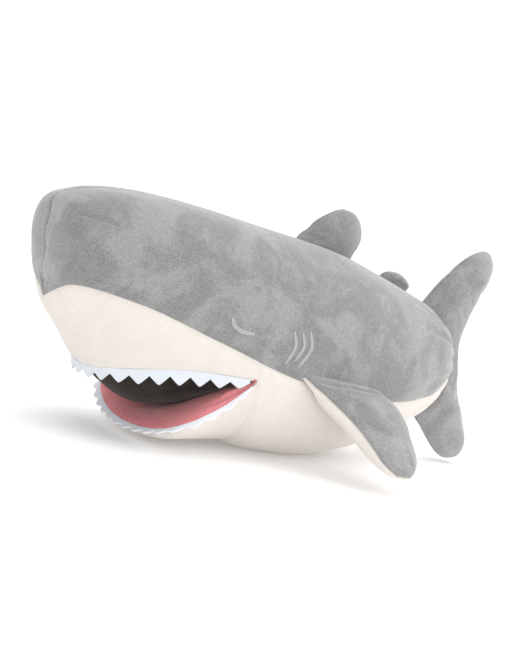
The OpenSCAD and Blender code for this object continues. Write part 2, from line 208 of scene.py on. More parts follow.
GREY = fabric("grey_velour", (0.19, 0.19, 0.19), (0.362, 0.362, 0.362), patches=0.42, mottle=0.2,
              grain=0.7, sheen=0.6, patch_size=0.045)
CREAM = fabric("cream_velour", (0.69, 0.637, 0.587), (0.785, 0.742, 0.70), patches=0.2, mottle=0.2,
               sheen=0.35, tint=(1, 0.98, 0.95))
BLACK = fabric("black_lining", (0.010, 0.008, 0.007), (0.034, 0.028, 0.025), patches=0.6, sheen=0.13,
               tint=(0.9, 0.85, 0.8))
PINK = fabric("pink_lining", (0.60, 0.175, 0.19), (0.74, 0.28, 0.295), patches=0.3, sheen=0.3,
              tint=(1, 0.75, 0.75))
FELT = fabric("white_felt", (0.66, 0.69, 0.74), (0.75, 0.785, 0.84), patches=0.1, sheen=0.1, pile=0.0004)
# The lower teeth are the same white felt as the upper ones, painted lighter to make up for the shade that
# the head casts on them.
PAINTED_LIGHT_FELT = fabric("felt_painted_lighter", (0.82, 0.83, 0.89), (0.90, 0.92, 0.97), patches=0.1, sheen=0.1,
                    pile=0.0004)
THREAD = fabric("silver_thread", (0.36, 0.36, 0.36), (0.52, 0.52, 0.52), patches=0, mottle=0.1,
                sheen=0.5, pile=0.0003, rough=0.5)
PAPER = fabric("sweep_paper", (0.96, 0.96, 0.96), (0.97, 0.97, 0.97), sheen=0, patch_size=0.3)
feed(PAPER.node_tree.nodes["Principled BSDF"], {"Emission Color": (1, 1, 1, 1),
                                                "Emission Strength": 0.14})
sweep.data.materials.append(PAPER)
print("fabrics:", [m.name for m in (GREY, CREAM, BLACK, PINK, FELT, PAINTED_LIGHT_FELT, THREAD, PAPER)])

# %% [markdown]
# ## The shape of the body
# The body is a loft: at each distance behind the front seam its section is a rounded oval with its own
# half width, top and bottom. A smooth curve through a few listed points gives each of them, the
# same way the CAD does it, so the skin lands where the CAD panels are. Working in millimetres keeps the
# numbers readable, and the mesh is scaled once, when it is made.

# %% Curves and the body's section
def smooth_curve(points):
    """A smooth curve through (x, y) points, as a function of x."""
    x, y = np.array(points, float).T
    at = np.arange(len(x))
    before, after = np.maximum(at - 1, 0), np.minimum(at + 1, len(x) - 1)
    slope = (y[after] - y[before]) / (x[after] - x[before])

    def value(v):
        i = np.clip(np.searchsorted(x, v, side="right") - 1, 0, len(x) - 2)
        h = x[i + 1] - x[i]
        t = (v - x[i]) / h
        return ((2 * t**3 - 3 * t**2 + 1) * y[i] + (t**3 - 2 * t**2 + t) * h * slope[i]
                + (3 * t**2 - 2 * t**3) * y[i + 1] + (t**3 - t**2) * h * slope[i + 1])
    return value


def root_curve(points):
    """The same over the root of the distance, because the nose is blunt."""
    return smooth_curve([(math.sqrt(x), y) for x, y in points])


trunk_len, nose_z, nose_lean, lean_reach = 434, 112, 0.22, 60
square_top, square_low = 2.4, 2.15
widest_at, nose_widest_at = 0.45, 0.66
corner_s, corner_z, upper_lip_s = 168, 76, 45
front_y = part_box("belly_panel")[1].y / MM - trunk_len
first_s, last_s = 0.0004, 446
half_width = root_curve([(0, 0), (6, 43), (25, 60), (70, 80), (130, 94), (200, 100), (280, 92),
                         (350, 73), (400, 52), (420, 40), (434, 27), (443, 12), (446, 4)])
top_height = root_curve([(0, nose_z), (6, 186), (25, 206), (70, 214), (130, 211), (200, 203), (280, 193),
                         (350, 174), (400, 156), (420, 144), (434, 130), (443, 115), (446, 107)])
low_height = root_curve([(0, nose_z), (6, 101), (24, 82), (45, 58), (80, 42), (130, 34), (186, 4),
                         (220, -2), (280, -2), (350, 18), (400, 43), (420, 57), (434, 72), (443, 87),
                         (446, 93)])
seam_height = root_curve([(0, nose_z), (8, 128.5), (60, 124), (130, 104), (200, 84), (260, 73), (330, 68),
                          (400, 75), (434, 92), (446, 100)])
lip_height = smooth_curve([(45, 60), (105, 74), (168, 76)])


def power(v, e):
    return np.sign(v) * np.abs(v) ** e


def lerp(a, b, t):
    return a + (b - a) * t


def smoothstep(low, high, v):
    t = np.clip((v - low) / (high - low), 0, 1)
    return t * t * (3 - 2 * t)


def section(s):
    """Half width, top, bottom and the height of the widest line at distance s."""
    r = np.sqrt(np.maximum(s, 0))
    top, low = top_height(r), low_height(r)
    share = lerp(widest_at, nose_widest_at, np.exp(-s / lean_reach))
    return half_width(r), top, low, lerp(low, top, share)


def body_point(s, a):
    """The skin at distance s and angle a, in radians: 0 on the top line, pi on the bottom line."""
    s, a = np.broadcast_arrays(np.asarray(s, float), np.asarray(a, float))
    wide, top, low, mid = section(s)
    square = np.where(np.cos(a) > 0, square_top, square_low)
    rise = power(np.cos(a), 2 / square)
    z = mid + np.where(rise > 0, top - mid, mid - low) * rise
    lean = nose_lean * np.maximum(z - nose_z, 0) * np.exp(-s / lean_reach)
    return np.stack([wide * power(np.sin(a), 2 / square), front_y + s - lean, np.maximum(z, 0)], -1)


def angle_at(s, z):
    """The angle at which the section at distance s has height z."""
    _, top, low, mid = section(s)
    rise = (z - mid) / np.maximum(np.where(z > mid, top - mid, mid - low), 0.01)
    square = np.where(rise > 0, square_top, square_low)
    return np.arccos(power(np.clip(rise, -1, 1), square / 2))


def seam_angle(s):
    return angle_at(s, seam_height(np.sqrt(s)))


print("widest section:", round(float(section(200.0)[0] * 2)), "mm across")

# %% [markdown]
# ## From a grid of points to a sewn panel
# Every panel is a grid of points that lies on the body. Three small moves turn a smooth grid into
# stuffed cloth: slow rumples from uneven stuffing, a groove along each sewn edge, because the seam
# allowance is turned inwards, and small puckers that run out from the stitches. Then the grid becomes
# a closed sheet with the fabric's real thickness, so nothing is a paper-thin surface.

# %% Helpers that shape cloth
def unit(v):
    return v / np.maximum(np.linalg.norm(v, axis=-1, keepdims=True), 1e-9)


def grid_normals(grid, outward):
    """Normals of a grid, turned so that its middle faces along outward."""
    n = unit(np.cross(np.gradient(grid, axis=0), np.gradient(grid, axis=1)))
    middle = n[grid.shape[0] // 2, grid.shape[1] // 2]
    return n if middle @ np.array(outward, float) > 0 else -n


def noise_at(points, size, seed):
    """Smooth noise from -1 to 1 with features about size millimetres across."""
    flat = points.reshape(-1, 3) / size
    shift = Vector((seed * 7.3, seed * 3.1, seed * 5.7))
    return np.array([noise.noise(Vector(p) + shift) for p in flat]).reshape(points.shape[:-1])


def run_lengths(grid, axis):
    """Distance along the grid's lines from their first point."""
    steps = np.linalg.norm(np.diff(grid, axis=axis), axis=-1)
    start = np.zeros_like(np.take(steps, [0], axis=axis))
    return np.cumsum(np.concatenate([start, steps], axis=axis), axis=axis)


def seam_sink(away, along, depth, width, pucker, pitch=9.0):
    """How far the cloth lies below its smooth shape at a distance away from a seam."""
    wander = np.sin(along / 23.0) + np.sin(along / 7.7 + 1.3)
    ripple = np.sin(2 * math.pi * along / pitch + 1.4 * wander) * np.exp(-away / (2.2 * width))
    near = away / width
    return depth * np.exp(-near ** 1.5) + pucker * ripple * near * np.exp(1 - near)


nose_tip = np.array([0, front_y, nose_z])


def sewn(grid, outward, seams, rumple=0.8, seed=1, extra=None):
    """A panel's grid with rumples and sunken seams. seams gives (depth, width, pucker) for the edges
    first_row, last_row, first_col and last_col; extra is added to the sink. The nose tip, where
    three panels meet, is held still."""
    normals = grid_normals(grid, outward)
    sink = -rumple * (noise_at(grid, 60, seed) + 0.45 * noise_at(grid, 24, seed + 1))
    down, across = run_lengths(grid, 0), run_lengths(grid, 1)
    for edge, (depth, width, pucker) in seams.items():
        away, along = {"first_row": (down, across), "last_row": (down[-1:] - down, across),
                       "first_col": (across, down), "last_col": (across[:, -1:] - across, down)}[edge]
        sink = sink + seam_sink(away, along, depth, width, pucker)
    if extra is not None:
        sink = sink + extra(grid)
    sink = sink * (1 - 0.9 * np.exp(-(np.linalg.norm(grid - nose_tip, axis=-1) / 8) ** 2))
    return grid - sink[..., None] * normals


def turned_in(grid, outward, axes, over=1.6, under=1.1):
    """Adds the seam allowance: lines of points past the edges of the grid and below its face."""
    for axis in axes:
        normals = grid_normals(grid, outward)
        ends = []
        for edge, inner in ((0, 2), (-1, -3)):
            at, into = (np.take(grid, [k], axis=axis) for k in (edge, inner))
            ends.append(at + over * unit(at - into) - under * np.take(normals, [edge], axis=axis))
        grid = np.concatenate([ends[0], grid, ends[1]], axis=axis)
    return grid


def quads_of(at):
    """The four-sided faces between the numbered points of a grid."""
    return np.stack([at[:-1, :-1], at[:-1, 1:], at[1:, 1:], at[1:, :-1]], -1).reshape(-1, 4)


def mesh_of(name, points, faces):
    """A mesh from points in millimetres."""
    mesh = bpy.data.meshes.new(name)
    mesh.from_pydata((points * MM).tolist(), [], faces.tolist())
    return mesh


def cleaned(mesh, merge, shortest=0.0):
    """Merges doubles, drops edges under the shortest and turns the faces outwards."""
    work = bmesh.new()
    work.from_mesh(mesh)
    bmesh.ops.remove_doubles(work, verts=work.verts, dist=merge)
    if shortest:
        bmesh.ops.dissolve_degenerate(work, edges=work.edges, dist=shortest)
    bmesh.ops.recalc_face_normals(work, faces=work.faces)
    work.to_mesh(mesh)
    work.free()


def finish_mesh(name, mesh, material):
    """A finished piece: cleaned, smooth and in its material."""
    cleaned(mesh, 0.00002, 0.00001)
    mesh.shade_smooth()
    mesh.materials.append(material)
    return link(name, mesh)


def closed_sheet(name, grid, outward, thick, material, allowance=()):
    """A closed mesh: the grid, the same grid moved inwards by the cloth's thickness, and a rim."""
    grid = turned_in(grid, outward, allowance)
    normals = grid_normals(grid, outward)
    rows, cols = grid.shape[:2]
    points = np.concatenate([grid.reshape(-1, 3), (grid - thick * normals).reshape(-1, 3)])
    at = np.arange(rows * cols).reshape(rows, cols)
    outer = quads_of(at)
    rim = np.concatenate([at[0, :-1], at[:-1, -1], at[-1, :0:-1], at[:0:-1, 0]])
    nxt = np.roll(rim, -1)
    back_side = at.size
    walls = np.stack([nxt, rim, rim + back_side, nxt + back_side], -1)
    faces = np.concatenate([outer, outer[:, ::-1] + back_side, walls])
    return finish_mesh(name, mesh_of(name, points, faces), material)


def groove_near(line, depth, width):
    """A sink that follows a line of points and fades over its width."""
    line = np.asarray(line, float)

    def sink(grid):
        flat = grid.reshape(-1, 1, 3)
        far = np.linalg.norm(flat - line[None], axis=-1).min(1)
        return (depth * np.exp(-(far / width) ** 2)).reshape(grid.shape[:2])
    return sink


print("the nose tip is at", nose_tip.round(1))


# %% [markdown]
# ## The grey back
# Two mirrored panels meet on the top line and wrap over the blunt snout, where the middle seam dips
# down the front. A short dart on each side takes up the cloth that the round nose doesn't need. At the
# tail end the cloth is gathered into the seam, so folds run out of it.

# %% Back panels
body_seam = (2.0, 3.2, 0.30)
faint_seam = (1.0, 2.5, 0.12)
velour = 1.3


def ease(count):
    """From 0 to 1 with small steps at both ends."""
    return (1 - np.cos(np.linspace(0, math.pi, count))) / 2


def side_path(path, count=60):
    """Points on the left flank along a smooth line through (distance, height) points."""
    u = np.linspace(0, len(path) - 1, count)
    s = smooth_curve([(i, p[0]) for i, p in enumerate(path)])(u)
    z = smooth_curve([(i, p[1]) for i, p in enumerate(path)])(u)
    return body_point(s, angle_at(s, z))


eye_path = [(133, 127.5), (136, 121.5), (143, 117.5), (155, 117)]
gill_paths = [[(194, 124), (197, 111), (190, 96)], [(203, 124), (206, 112), (199, 99)],
              [(211, 126), (214, 111), (204, 94)]]
dart_path = [(13, 188), (22, 188), (36, 186)]


tail_axis_z = 110


def round_axis(grid, height):
    """The angle of each point round a line along the toy at a height."""
    return np.arctan2(grid[..., 0], grid[..., 2] - height)


def nose_gathers(grid, depth, reach):
    """Nine small folds that run out of the nose tip."""
    from_nose = np.linalg.norm(grid - nose_tip, axis=-1)
    return depth * np.exp(-from_nose / reach) * np.sin(9 * round_axis(grid, nose_z))


def back_details(grid):
    """Dart, gathers at the tail and at the nose, and the dents of the stitched eye and gills."""
    sink = groove_near(side_path(dart_path), 2.0, 1.9)(grid)
    sink += groove_near(side_path(eye_path), 0.8, 4.5)(grid)
    for path in gill_paths:
        sink += groove_near(side_path(path), 0.7, 3.0)(grid)
    s = grid[..., 1] - front_y
    turn = round_axis(grid, tail_axis_z)
    folds = np.sin(13 * turn + 1.5 * noise_at(grid, 40, 5)) + 0.5 * np.sin(29 * turn + 2)
    sink += 1.2 * smoothstep(350, 405, s) * smoothstep(446, 425, s) * folds
    pucker = np.sin(grid[..., 2] / 4.6 + 2 * noise_at(grid, 30, 9)) * np.exp(-np.abs(grid[..., 0]) / 11)
    sink += 1.1 * pucker * np.exp(-np.maximum(s, 0) / 22)
    return sink + nose_gathers(grid, 0.8, 16)


rows = lerp(first_s, last_s, ease(170))[:, None]
cols = np.linspace(0, 1, 84)[None, :]
back_grid = body_point(rows, seam_angle(rows) * cols)
back_skin = sewn(back_grid, (1, 0, 0), {"first_col": faint_seam, "last_col": body_seam},
                 seed=3, extra=back_details)
mirror = np.array([-1, 1, 1])
back_left = closed_sheet("back_left", back_skin, (1, 0, 0), velour, GREY, (1,))
back_right = closed_sheet("back_right", back_skin * mirror, (-1, 0, 0), velour, GREY, (1,))
print("back panel:", len(back_left.data.polygons), "faces")

# %% [markdown]
# ## The cream snout
# This panel runs from one mouth corner round under the nose to the other. Its upper edge is the grey
# seam and its lower edge is the lip. On each section it is laid out between those two edges, in polar
# steps round the nose, so the grid lines stay even where the sections shrink to a point.

# %% Snout panel
def signed(t, points):
    """Gives the x of points made for the left side the sign of t."""
    return points * np.stack([np.sign(t), np.ones_like(t), np.ones_like(t)], -1)


def lip_s(t):
    return lerp(upper_lip_s, corner_s, np.abs(t) ** 1.9)


lip_round = 0.25


def upper_lip_angle(t):
    """The lip's angle: its own height curve at the sides, rounded off under the nose."""
    side = np.maximum(np.abs(t), lip_round)
    s = lip_s(side)
    share = np.minimum(np.abs(t) / lip_round, 1) ** 1.2
    return math.pi - (math.pi - angle_at(s, lip_height(s))) * share


def snout_point(t, v):
    """t runs from corner to corner and v from the grey seam down to the lip."""
    seam_s = first_s + corner_s * t * t
    from_a, to_a = seam_angle(seam_s), upper_lip_angle(t)
    from_a = np.where(np.abs(t) < 0.002, math.pi, from_a)
    from_r, to_r = np.sqrt(seam_s), np.sqrt(lip_s(t))
    px = lerp(from_r * np.sin(from_a), to_r * np.sin(to_a), v)
    pz = lerp(from_r * np.cos(from_a), to_r * np.cos(to_a), v)
    return signed(t, body_point(px**2 + pz**2, np.arctan2(px, pz)))


t, v = np.linspace(-1, 1, 241)[:, None], np.linspace(0, 1, 56)[None, :]
snout_grid = snout_point(*np.broadcast_arrays(t, v))
snout_skin = sewn(snout_grid, (0, -1, 0), {"first_col": body_seam, "last_col": (0.8, 2.0, 0.1),
                                           "first_row": (0.4, 3, 0.1), "last_row": (0.4, 3, 0.1)},
                  seed=3, extra=lambda grid: nose_gathers(grid, 0.6, 14))
snout = closed_sheet("snout", snout_skin, (0, -1, 0), velour, CREAM, (0, 1))
print("snout panel:", len(snout.data.polygons), "faces")

# %% [markdown]
# ## The belly
# The belly runs from the throat behind the jaw to the tail. It is flat where the toy rests, because the
# stuffing settles there, and gathered at the tail like the back.

# %% Belly panel
throat_back = 16
corner_angle = float(angle_at(corner_s, corner_z))
corner_share = (math.pi - corner_angle) / (math.pi - float(seam_angle(corner_s)))


def throat_s(u):
    """The belly's front edge: straight above the mouth corners and bowed back between them."""
    return corner_s + throat_back * np.maximum(1 - (u / corner_share) ** 2, 0)


def belly_details(grid):
    """Gathers at the tail."""
    s = grid[..., 1] - front_y
    folds = np.sin(11 * round_axis(grid, tail_axis_z) + 1.5 * noise_at(grid, 40, 6))
    return 0.9 * smoothstep(360, 410, s) * smoothstep(446, 425, s) * folds


u = np.linspace(-1, 1, 121)[None, :]
rows = ease(120)[:, None]
s = lerp(throat_s(u), last_s, rows)
belly_grid = body_point(s, math.pi + (math.pi - seam_angle(s)) * u)
belly_skin = sewn(belly_grid, (0, 0, -1), {"first_col": body_seam, "last_col": body_seam,
                                           "first_row": (0.4, 3, 0.1)}, seed=3, extra=belly_details)
belly_skin[..., 2] = np.maximum(belly_skin[..., 2], 0)
belly = closed_sheet("belly", belly_skin, (0, 0, -1), velour, CREAM, (0, 1))
print("belly panel:", len(belly.data.polygons), "faces")

# %% [markdown]
# ## The mouth
# Three curves make the mouth: the upper lip, the lower lip and the fold at the back where the black
# palate meets the pink floor. All three meet in the mouth corners. A fourth, the throat, is where the
# jaw is sewn to the belly.

# %% The mouth's three curves
corner = body_point(corner_s, corner_angle)
lip_table = [(-0.2, -30, 97, 13.5), (0, 0, 95, 12), (0.2, 30, 97, 13.5), (0.4, 60, 102, 19),
             (0.55, 81, 108.5, 27.5), (0.7, 91, 123, 38), (0.85, 93.5, 146, 54),
             (1, corner[0], corner_s, corner_z)]
lip_x, lip_y, lip_z = (smooth_curve([(row[0], row[k]) for row in lip_table]) for k in (1, 2, 3))


def upper_lip(t):
    return signed(t, body_point(lip_s(t), upper_lip_angle(t)))


def lower_lip(t):
    w = np.abs(t)
    return signed(t, np.stack([lip_x(w), front_y + lip_y(w), lip_z(w)], -1))


def mouth_fold(t):
    w = np.sin(np.abs(t) * math.pi / 2) ** 0.9
    return signed(t, np.stack([corner[0] * w, front_y + lerp(137, corner_s, w**4),
                               lerp(31, corner_z, w**1.4)], -1))


def throat(t):
    """The front edge of the belly from one mouth corner under the jaw to the other."""
    w = np.abs(t)
    a = math.pi - (math.pi - corner_angle) * w
    return signed(t, body_point(throat_s(corner_share * w), a))


print("mouth:", round(float(2 * corner[0])), "mm between the corners")

# %% [markdown]
# Each lining is a ruled sheet between a lip and the fold with some swell in the middle, so the two
# share the fold exactly. The palate hangs down, as loose lining does, and the floor bunches at the
# corners.

# %% Palate and mouth floor
across = np.linspace(-1, 1, 161)[:, None]
deep = np.linspace(0, 1, 48)[None, :]
t, v = np.broadcast_arrays(across, deep)
centred = np.sqrt(np.maximum(1 - t * t, 0))
up_z = np.array([0, 0, 1.0])

inner_lip = upper_lip(t) * np.array([0.97, 1, 1]) + np.array([0, 3.0, 0.5])
palate_grid = lerp(inner_lip, mouth_fold(t), v[..., None]) \
    - (13.5 * np.sin(math.pi * v) * centred**2)[..., None] * up_z
palate_grid = sewn(palate_grid, (0, 0, -1), {}, rumple=0.8, seed=21)
palate = closed_sheet("palate", palate_grid, (0, 0, -1), 1.2, BLACK)

floor_grid = lerp(lower_lip(t), mouth_fold(t), v[..., None]) \
    + (3 * np.sin(math.pi * v ** 0.7) * centred)[..., None] * up_z


def corner_folds(grid):
    """A deep fold and a raised one run into the mouth from each corner."""
    sink = np.zeros(grid.shape[:2])
    for row_in, row_out in ((-4, -26), (3, 25)):
        for col, depth, width in ((20, 2.6, 2.4), (31, -1.8, 3.5), (11, -1.2, 3.0)):
            ends = grid[row_in, col], grid[row_out, col]
            line = [lerp(ends[0], ends[1], k) for k in np.linspace(0, 1, 16)]
            sink += groove_near(line, depth, width)(grid)
    return sink


floor_grid = sewn(floor_grid, (0, 0, 1), {"first_col": (1.0, 2.5, 0.3)}, rumple=0.7, seed=23,
                  extra=corner_folds)
floor = closed_sheet("mouth_floor_skin", floor_grid, (0, 0, 1), 1.2, PINK)
print("mouth lining:", len(palate.data.polygons) + len(floor.data.polygons), "faces")

# %% [markdown]
# ## The lower jaw
# The jaw is a crescent cushion. Its skin leaves the lip, swells out over the chin and tucks back into
# the throat seam. Each section is one cubic curve with a handle at the lip and one at the throat, which
# is the least that can make a full chin and a tight crease.

# %% Jaw skin
def bezier(p0, p1, p2, p3, v):
    v = v[..., None]
    return (1 - v)**3 * p0 + 3 * (1 - v)**2 * v * p1 + 3 * (1 - v) * v**2 * p2 + v**3 * p3


lip, crease = lower_lip(t), throat(t)
reach = np.linalg.norm(crease - lip, axis=-1, keepdims=True)
w = np.abs(t)[..., None]
side = np.sign(t)[..., None] * np.array([1.0, 0, 0])
lip_handle = reach * (0.08 * w * side + np.array([0, -1, 0]) * 0.06 * (1 - w) + np.array([0, 0, -1])
                      * (0.14 + 0.16 * w))
throat_handle = reach * (0.06 * w * side + np.array([0, -1, 0]) * 0.42 + np.array([0, 0, -1]) * 0.02)
jaw_grid = bezier(lip, lip + lip_handle, crease + throat_handle, crease, v)
jaw_grid = sewn(jaw_grid, (0, 0, -1), {"first_col": (0.8, 2, 0.2), "last_col": (0.4, 3, 0.1)},
                seed=3)
jaw_grid[..., 2] = np.maximum(jaw_grid[..., 2], 0.3)
jaw = closed_sheet("jaw_skin", jaw_grid, (0, 0, -1), velour, CREAM, (1,))
print("jaw skin:", len(jaw.data.polygons), "faces")

# %% [markdown]
# ## Felt teeth
# Teeth on a soft toy are one strip of felt cut in zigzags with pinking shears and sewn in with the lip.
# The strip is a grid too: its columns follow the lip by length, so every tooth is as wide as the next,
# and its rows run from the sewn edge down to a depth that rises and falls with the teeth.

# %% Teeth strips
tooth_count = 19
count = tooth_count * 14 + 1
felt = 1.5


def even(points, count):
    """Points at even distances along a line of points."""
    far = run_lengths(points, 0)
    at = np.linspace(0, far[-1], count)
    return np.stack([np.interp(at, far, points[:, k]) for k in range(3)], -1)


def tooth_shape(tip=0.11):
    """From 0 in a notch to 1 on a slightly rounded tip."""
    f = np.linspace(0, tooth_count, count) % 1
    return 1 - (np.sqrt((2 * f - 1)**2 + tip**2) - tip) / (math.sqrt(1 + tip**2) - tip)


def turned_to(vectors, direction):
    """The same vectors, all flipped if the middle one points away from a direction."""
    return vectors * np.sign(vectors[len(vectors) // 2] @ np.array(direction))


def felt_strip(name, edge, hang, tuck_in, stand_off, band, tooth, facing, material, chin_trim=0.0):
    """edge is the lip and hang the unit direction down the strip. The strip starts tuck_in above
    the lip and stand_off in front of it; chin_trim shortens the teeth in its middle."""
    outer = turned_to(unit(np.cross(unit(np.gradient(edge, axis=0)), hang)), facing)
    edge = edge + stand_off * outer - tuck_in * hang
    shape = tooth_shape()
    across = np.linspace(-1, 1, count)
    ends = (1 - 0.5 * np.abs(across) ** 6) * (1 - chin_trim * np.exp(-(across / 0.4) ** 2))
    depth = (band + tooth * shape) * ends
    k = np.linspace(0, 1, 9)[None, :, None]
    curl = 0.5 * noise_at(edge, 18, 41)
    grid = edge[:, None] + hang[:, None] * k * depth[:, None, None] \
        + outer[:, None] * (k**2 * (curl * shape)[:, None, None])
    return closed_sheet(name, grid, facing, felt, material)


steps = np.linspace(-0.975, 0.975, 400)
upper_edge, lower_edge = even(upper_lip(steps), count), even(lower_lip(steps), count)
hang = unit(np.stack([-0.06 * upper_edge[:, 0] / 90, np.full(count, 0.12), np.full(count, -1.0)], -1))
upper_teeth = felt_strip("upper_teeth_felt", upper_edge, hang, 1.5, 1.0, 6.5, 8.3, (0, -1, 0), FELT,
                         chin_trim=0.3)

sideways = unit(np.cross(unit(np.gradient(lower_edge, axis=0)), up_z) * np.array([1, 1, 0]))
hang = unit(0.85 * turned_to(sideways, (0, -1, 0)) - 0.53 * up_z)
# The lower strip takes the felt that is painted lighter against the head's shade.
lower_teeth = felt_strip("lower_teeth_felt", lower_edge, hang, 1.0, 0, 4.2, 4.0, (0, -1, 1), PAINTED_LIGHT_FELT)
print("teeth:", tooth_count, "above and below")

# %% [markdown]
# ## Padded fins
# A fin is two pieces of velour sewn round the edge, turned and stuffed, so it is a pillow: thick in the
# middle, with a seam all round and small wrinkles where the two cloths pull on each other. The outline
# is a table of ribs. Cloth simulation does the rest: pressure swells the pillow while its root is held.

# %% Pillows and the cloth that swells them
def pillow_grids(plane, ribs, half, rows, cols, roll=0, other_half=None, push=0):
    """The two faces of a pillow. plane is (origin, along, up); a rib is (front along, front up,
    rear along, rear up, share of the half thickness). roll moves the front seam onto one face,
    and push bulges the other face forward; the two faces can have different half thicknesses."""
    origin, along, upward = (np.array(v, float) for v in plane)
    normal = np.cross(along, upward)
    table = np.array(ribs, float)
    middles = (table[:, 0:2] + table[:, 2:4]) / 2
    far = run_lengths(middles, 0)
    at = lerp(np.linspace(0, 1, rows), ease(rows), 0.5) * far[-1]
    front_a, front_u, rear_a, rear_u = (smooth_curve(list(zip(far, table[:, k])))(at)[:, None]
                                        for k in range(4))
    share = np.sqrt(np.maximum(smooth_curve(list(zip(far, table[:, 4] ** 2)))(at), 0))[:, None]
    theta = np.linspace(0, math.pi, cols)[None, :]
    mix = (1 - np.cos(theta)) / 2
    a, u = lerp(front_a, rear_a, mix), lerp(front_u, rear_u, mix)
    flat = origin + a[..., None] * along + u[..., None] * upward \
        - (roll * share * (1 - mix) ** 2)[..., None] * normal
    swell_by = (share * np.sin(theta) ** 0.75)[..., None]
    forward = push * swell_by * ((1 - mix) ** 2)[..., None] * along
    return flat + half * swell_by * normal - forward, flat - (other_half or half) * swell_by * normal


def pillow_mesh(name, top, under):
    """One closed mesh from the two faces. Material 0 is the top face and 1 the one under it."""
    rows, cols = top.shape[:2]
    at = np.arange(rows * cols).reshape(rows, cols)
    quads = quads_of(at)
    points = np.concatenate([top.reshape(-1, 3), under.reshape(-1, 3)])
    mesh = mesh_of(name, points, np.concatenate([quads, quads[:, ::-1] + at.size]))
    mesh.polygons.foreach_set("material_index", [0] * len(quads) + [1] * len(quads))
    cleaned(mesh, 0.0002)
    return link(name, mesh)


def coordinates(mesh):
    co = np.empty(len(mesh.vertices) * 3)
    mesh.vertices.foreach_get("co", co)
    return co.reshape(-1, 3)


def set_coordinates(mesh, points):
    mesh.vertices.foreach_set("co", points.astype(np.float32).ravel())
    mesh.update()


def seam_points(mesh):
    """Indices of the vertices where the two faces of a pillow meet."""
    sides = [set() for _ in mesh.vertices]
    for polygon in mesh.polygons:
        for i in polygon.vertices:
            sides[i].add(polygon.material_index)
    return [i for i, touched in enumerate(sides) if len(touched) == 2]


def swell(piece, held, plane, pressure=4.0, cap=0.004, shrink=0.04, outline=0.3):
    """Cloth with pressure inside. held says which points stay; no point moves further than cap, and
    only a part of the movement along the fin's own plane is kept, so the outline stays cut to size."""
    mesh = piece.data
    before = coordinates(mesh)
    still = [i for i, p in enumerate(before) if held(p)]
    for group, members in (("held", still), ("seam", seam_points(mesh))):
        piece.vertex_groups.new(name=group).add(members, 1.0, "REPLACE")
    cloth = piece.modifiers.new("cloth", "CLOTH")
    settings = cloth.settings
    for setting, value in (("quality", 6), ("mass", 0.2), ("tension_stiffness", 12),
                           ("compression_stiffness", 12), ("shear_stiffness", 4),
                           ("bending_stiffness", 0.3), ("use_pressure", True),
                           ("uniform_pressure_force", pressure), ("vertex_group_mass", "held"),
                           ("vertex_group_shrink", "seam"), ("shrink_min", 0), ("shrink_max", shrink)):
        setattr(settings, setting, value)
    settings.effector_weights.gravity = 0
    scene = bpy.context.scene
    frames = 20
    cloth.point_cache.frame_start, cloth.point_cache.frame_end = 1, frames
    for number in range(1, frames + 1):
        scene.frame_set(number)
    after = coordinates(piece.evaluated_get(bpy.context.evaluated_depsgraph_get()).data)
    piece.modifiers.remove(cloth)
    scene.frame_set(1)
    move = after - before
    far = np.linalg.norm(move, axis=1, keepdims=True)
    move *= np.minimum(1, cap / np.maximum(far, 1e-9))
    through = np.cross(plane[1], plane[2])
    across = (move @ through)[:, None] * through
    move = across + outline * (move - across)
    set_coordinates(mesh, before + move)
    print(piece.name, "swelled by up to", round(float(far.max() / MM), 1), "mm")


def press(mesh, depths):
    """Moves each point inwards by its own depth in millimetres."""
    normals = np.array([v.normal for v in mesh.vertices])
    set_coordinates(mesh, coordinates(mesh) - depths[:, None] * MM * normals)


def sink_seam(piece, depth):
    """Pulls the seam into the pillow, so the two cloths roll over it."""
    depths = np.zeros(len(piece.data.vertices))
    depths[seam_points(piece.data)] = depth
    press(piece.data, depths)


def on_plane(plane, along, upward, lift=0.0):
    return plane[0] + along * plane[1] + upward * plane[2] + lift * np.cross(plane[1], plane[2])


def tuck(piece, plane, start, end, lift, depth, width):
    """A short crease in a pillow between two (along, up) places, lift above the middle plane."""
    line = [on_plane(plane, *lerp(np.array(start, float), np.array(end, float), k), lift)
            for k in np.linspace(0, 1, 12)]
    mesh = piece.data
    press(mesh, groove_near(line, depth, width)(coordinates(mesh)[:, None, :] / MM)[:, 0])


def cloth_face(pillow, index, name, material):
    """One face of a pillow as a closed piece of velour, smoothed by one subdivision."""
    work = bmesh.new()
    work.from_mesh(pillow.data)
    bmesh.ops.delete(work, geom=[f for f in work.faces if f.material_index != index], context="FACES")
    for face in work.faces:
        face.material_index = 0
    mesh = bpy.data.meshes.new(name)
    work.to_mesh(mesh)
    work.free()
    piece = link(name, mesh)
    smooth = piece.modifiers.new("smooth", "SUBSURF")
    smooth.levels = smooth.render_levels = 1
    smooth.boundary_smooth = "PRESERVE_CORNERS"
    thick = piece.modifiers.new("thick", "SOLIDIFY")
    thick.thickness = 1.0 * MM
    thick.offset = -1
    made = bpy.data.meshes.new_from_object(piece.evaluated_get(bpy.context.evaluated_depsgraph_get()))
    bpy.data.objects.remove(piece)
    return finish_mesh(name, made, material)


def faces_of_pillow(pillow, names, materials):
    """Both faces of a pillow as pieces; the pillow itself is removed."""
    made = [cloth_face(pillow, k, names[k], materials[k]) for k in (0, 1)]
    bpy.data.objects.remove(pillow)
    return made


# %% [markdown]
# ## The side fins
# They hang from the flanks: grey above and cream below. The seam runs round the edge, and the stuffing
# stops short of the tip, where a crease crosses the leading edge.

# %% Side fins
side_root = np.array([100.0, front_y + 210, 82])
side_along = unit(np.array([-0.16, 0.986, -0.05]))
side_out = np.array([0.78, 0.095, -0.62])
side_out = unit(side_out - (side_out @ side_along) * side_along)
side_plane = (side_root, side_along, side_out)


def flat_ribs(table):
    """Ribs straight across: (height, front, rear, share)."""
    return [(front, height, rear, height, share) for height, front, rear, share in table]


